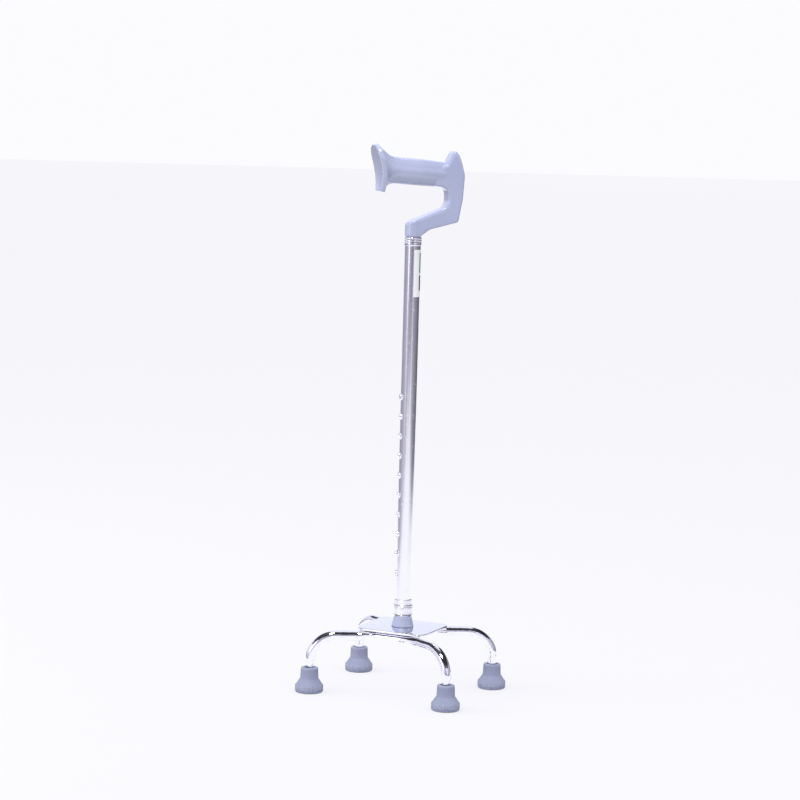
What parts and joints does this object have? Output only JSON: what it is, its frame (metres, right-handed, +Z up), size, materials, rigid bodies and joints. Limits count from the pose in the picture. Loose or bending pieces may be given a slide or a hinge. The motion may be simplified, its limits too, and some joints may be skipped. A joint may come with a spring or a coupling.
{
  "type": "quad walking cane",
  "caption": "Four-footed walking cane: moulded palm handle with thumb rest, height-adjustable shaft with a sprung button and lock nut, and a plate base with bent tube legs and rubber tips.",
  "frame": {"origin": "on the floor, under the shaft's axis, at the middle of the four tips", "axes": "+Z up along the shaft; X along the base's long side; the handle's spine points 44 degrees from +X towards +Y"},
  "size_m": [0.2256, 0.1794, 0.6927],
  "materials": {
    "handle_plastic": "smooth moulded plastic, satin gloss, pale lavender grey",
    "boss_plastic": "moulded plastic, fine satin, lavender grey",
    "tip_rubber": "moulded rubber, matt, mid grey",
    "anodised_aluminium": "drawn tube, clear anodised, satin",
    "chrome": "mirror-bright plating",
    "zinc_steel": "zinc plated",
    "white_nylon": "moulded nylon, hidden inside",
    "label_film": "white printed film wrapped on the shaft, with plain colour marks"
  },
  "bodies": {
    "base": {"base_plate": "chrome", "front_leg_tube": "chrome", "rear_leg_tube": "chrome", "tip_front_left": "tip_rubber", "tip_front_right": "tip_rubber", "tip_rear_left": "tip_rubber", "tip_rear_right": "tip_rubber", "tip_washer_front_left": "zinc_steel", "tip_washer_front_right": "zinc_steel", "tip_washer_rear_left": "zinc_steel", "tip_washer_rear_right": "zinc_steel"},
    "post": {"inner_tube": "anodised_aluminium", "inner_bush": "white_nylon", "post_plug": "anodised_aluminium", "plug_pin": "zinc_steel", "base_stud": "zinc_steel", "base_washer": "zinc_steel", "base_nut": "zinc_steel", "base_boss": "boss_plastic", "button_spring": "zinc_steel"},
    "button": {"lock_button": "zinc_steel"},
    "upper": {"outer_tube": "anodised_aluminium", "eyelet_01": "anodised_aluminium", "eyelet_02": "anodised_aluminium", "eyelet_03": "anodised_aluminium", "eyelet_04": "anodised_aluminium", "eyelet_05": "anodised_aluminium", "eyelet_06": "anodised_aluminium", "eyelet_07": "anodised_aluminium", "eyelet_08": "anodised_aluminium", "eyelet_09": "anodised_aluminium", "eyelet_10": "anodised_aluminium", "label": "label_film", "top_ring": "chrome", "handle": "handle_plastic", "threaded_sleeve": "anodised_aluminium"},
    "collet": {"collet_ring": "white_nylon"},
    "nut": {"locknut": "anodised_aluminium"}
  },
  "joints": [
    {"name": "base_swivel", "type": "hinge", "parent": "base", "child": "post", "pos_m": [0, 0, 0.0825], "axis": [0, 0, 1], "continuous": true},
    {"name": "height_slide", "type": "slide", "parent": "post", "child": "upper", "axis": [0, 0, 1], "range_m": [0, 0.225], "deforming": ["lock_button", "button_spring"]},
    {"name": "button_press", "type": "slide", "parent": "post", "child": "button", "axis": [0.7193, 0.6947, 0], "range_m": [0, 0.004], "stiffness_N_per_m": 1500, "deforming": ["button_spring"]},
    {"name": "nut_travel", "type": "slide", "parent": "upper", "child": "collet", "axis": [0, 0, -1], "range_m": [0, 0.00094]},
    {"name": "locknut_turn", "type": "hinge", "parent": "collet", "child": "nut", "pos_m": [0, 0, 0.1036], "axis": [0, 0, 1], "range_deg": [0, 270]}
  ],
  "couplings": [
    {"joint": "nut_travel", "follows": "locknut_turn", "m_per_rad": 0.00019894}
  ]
}
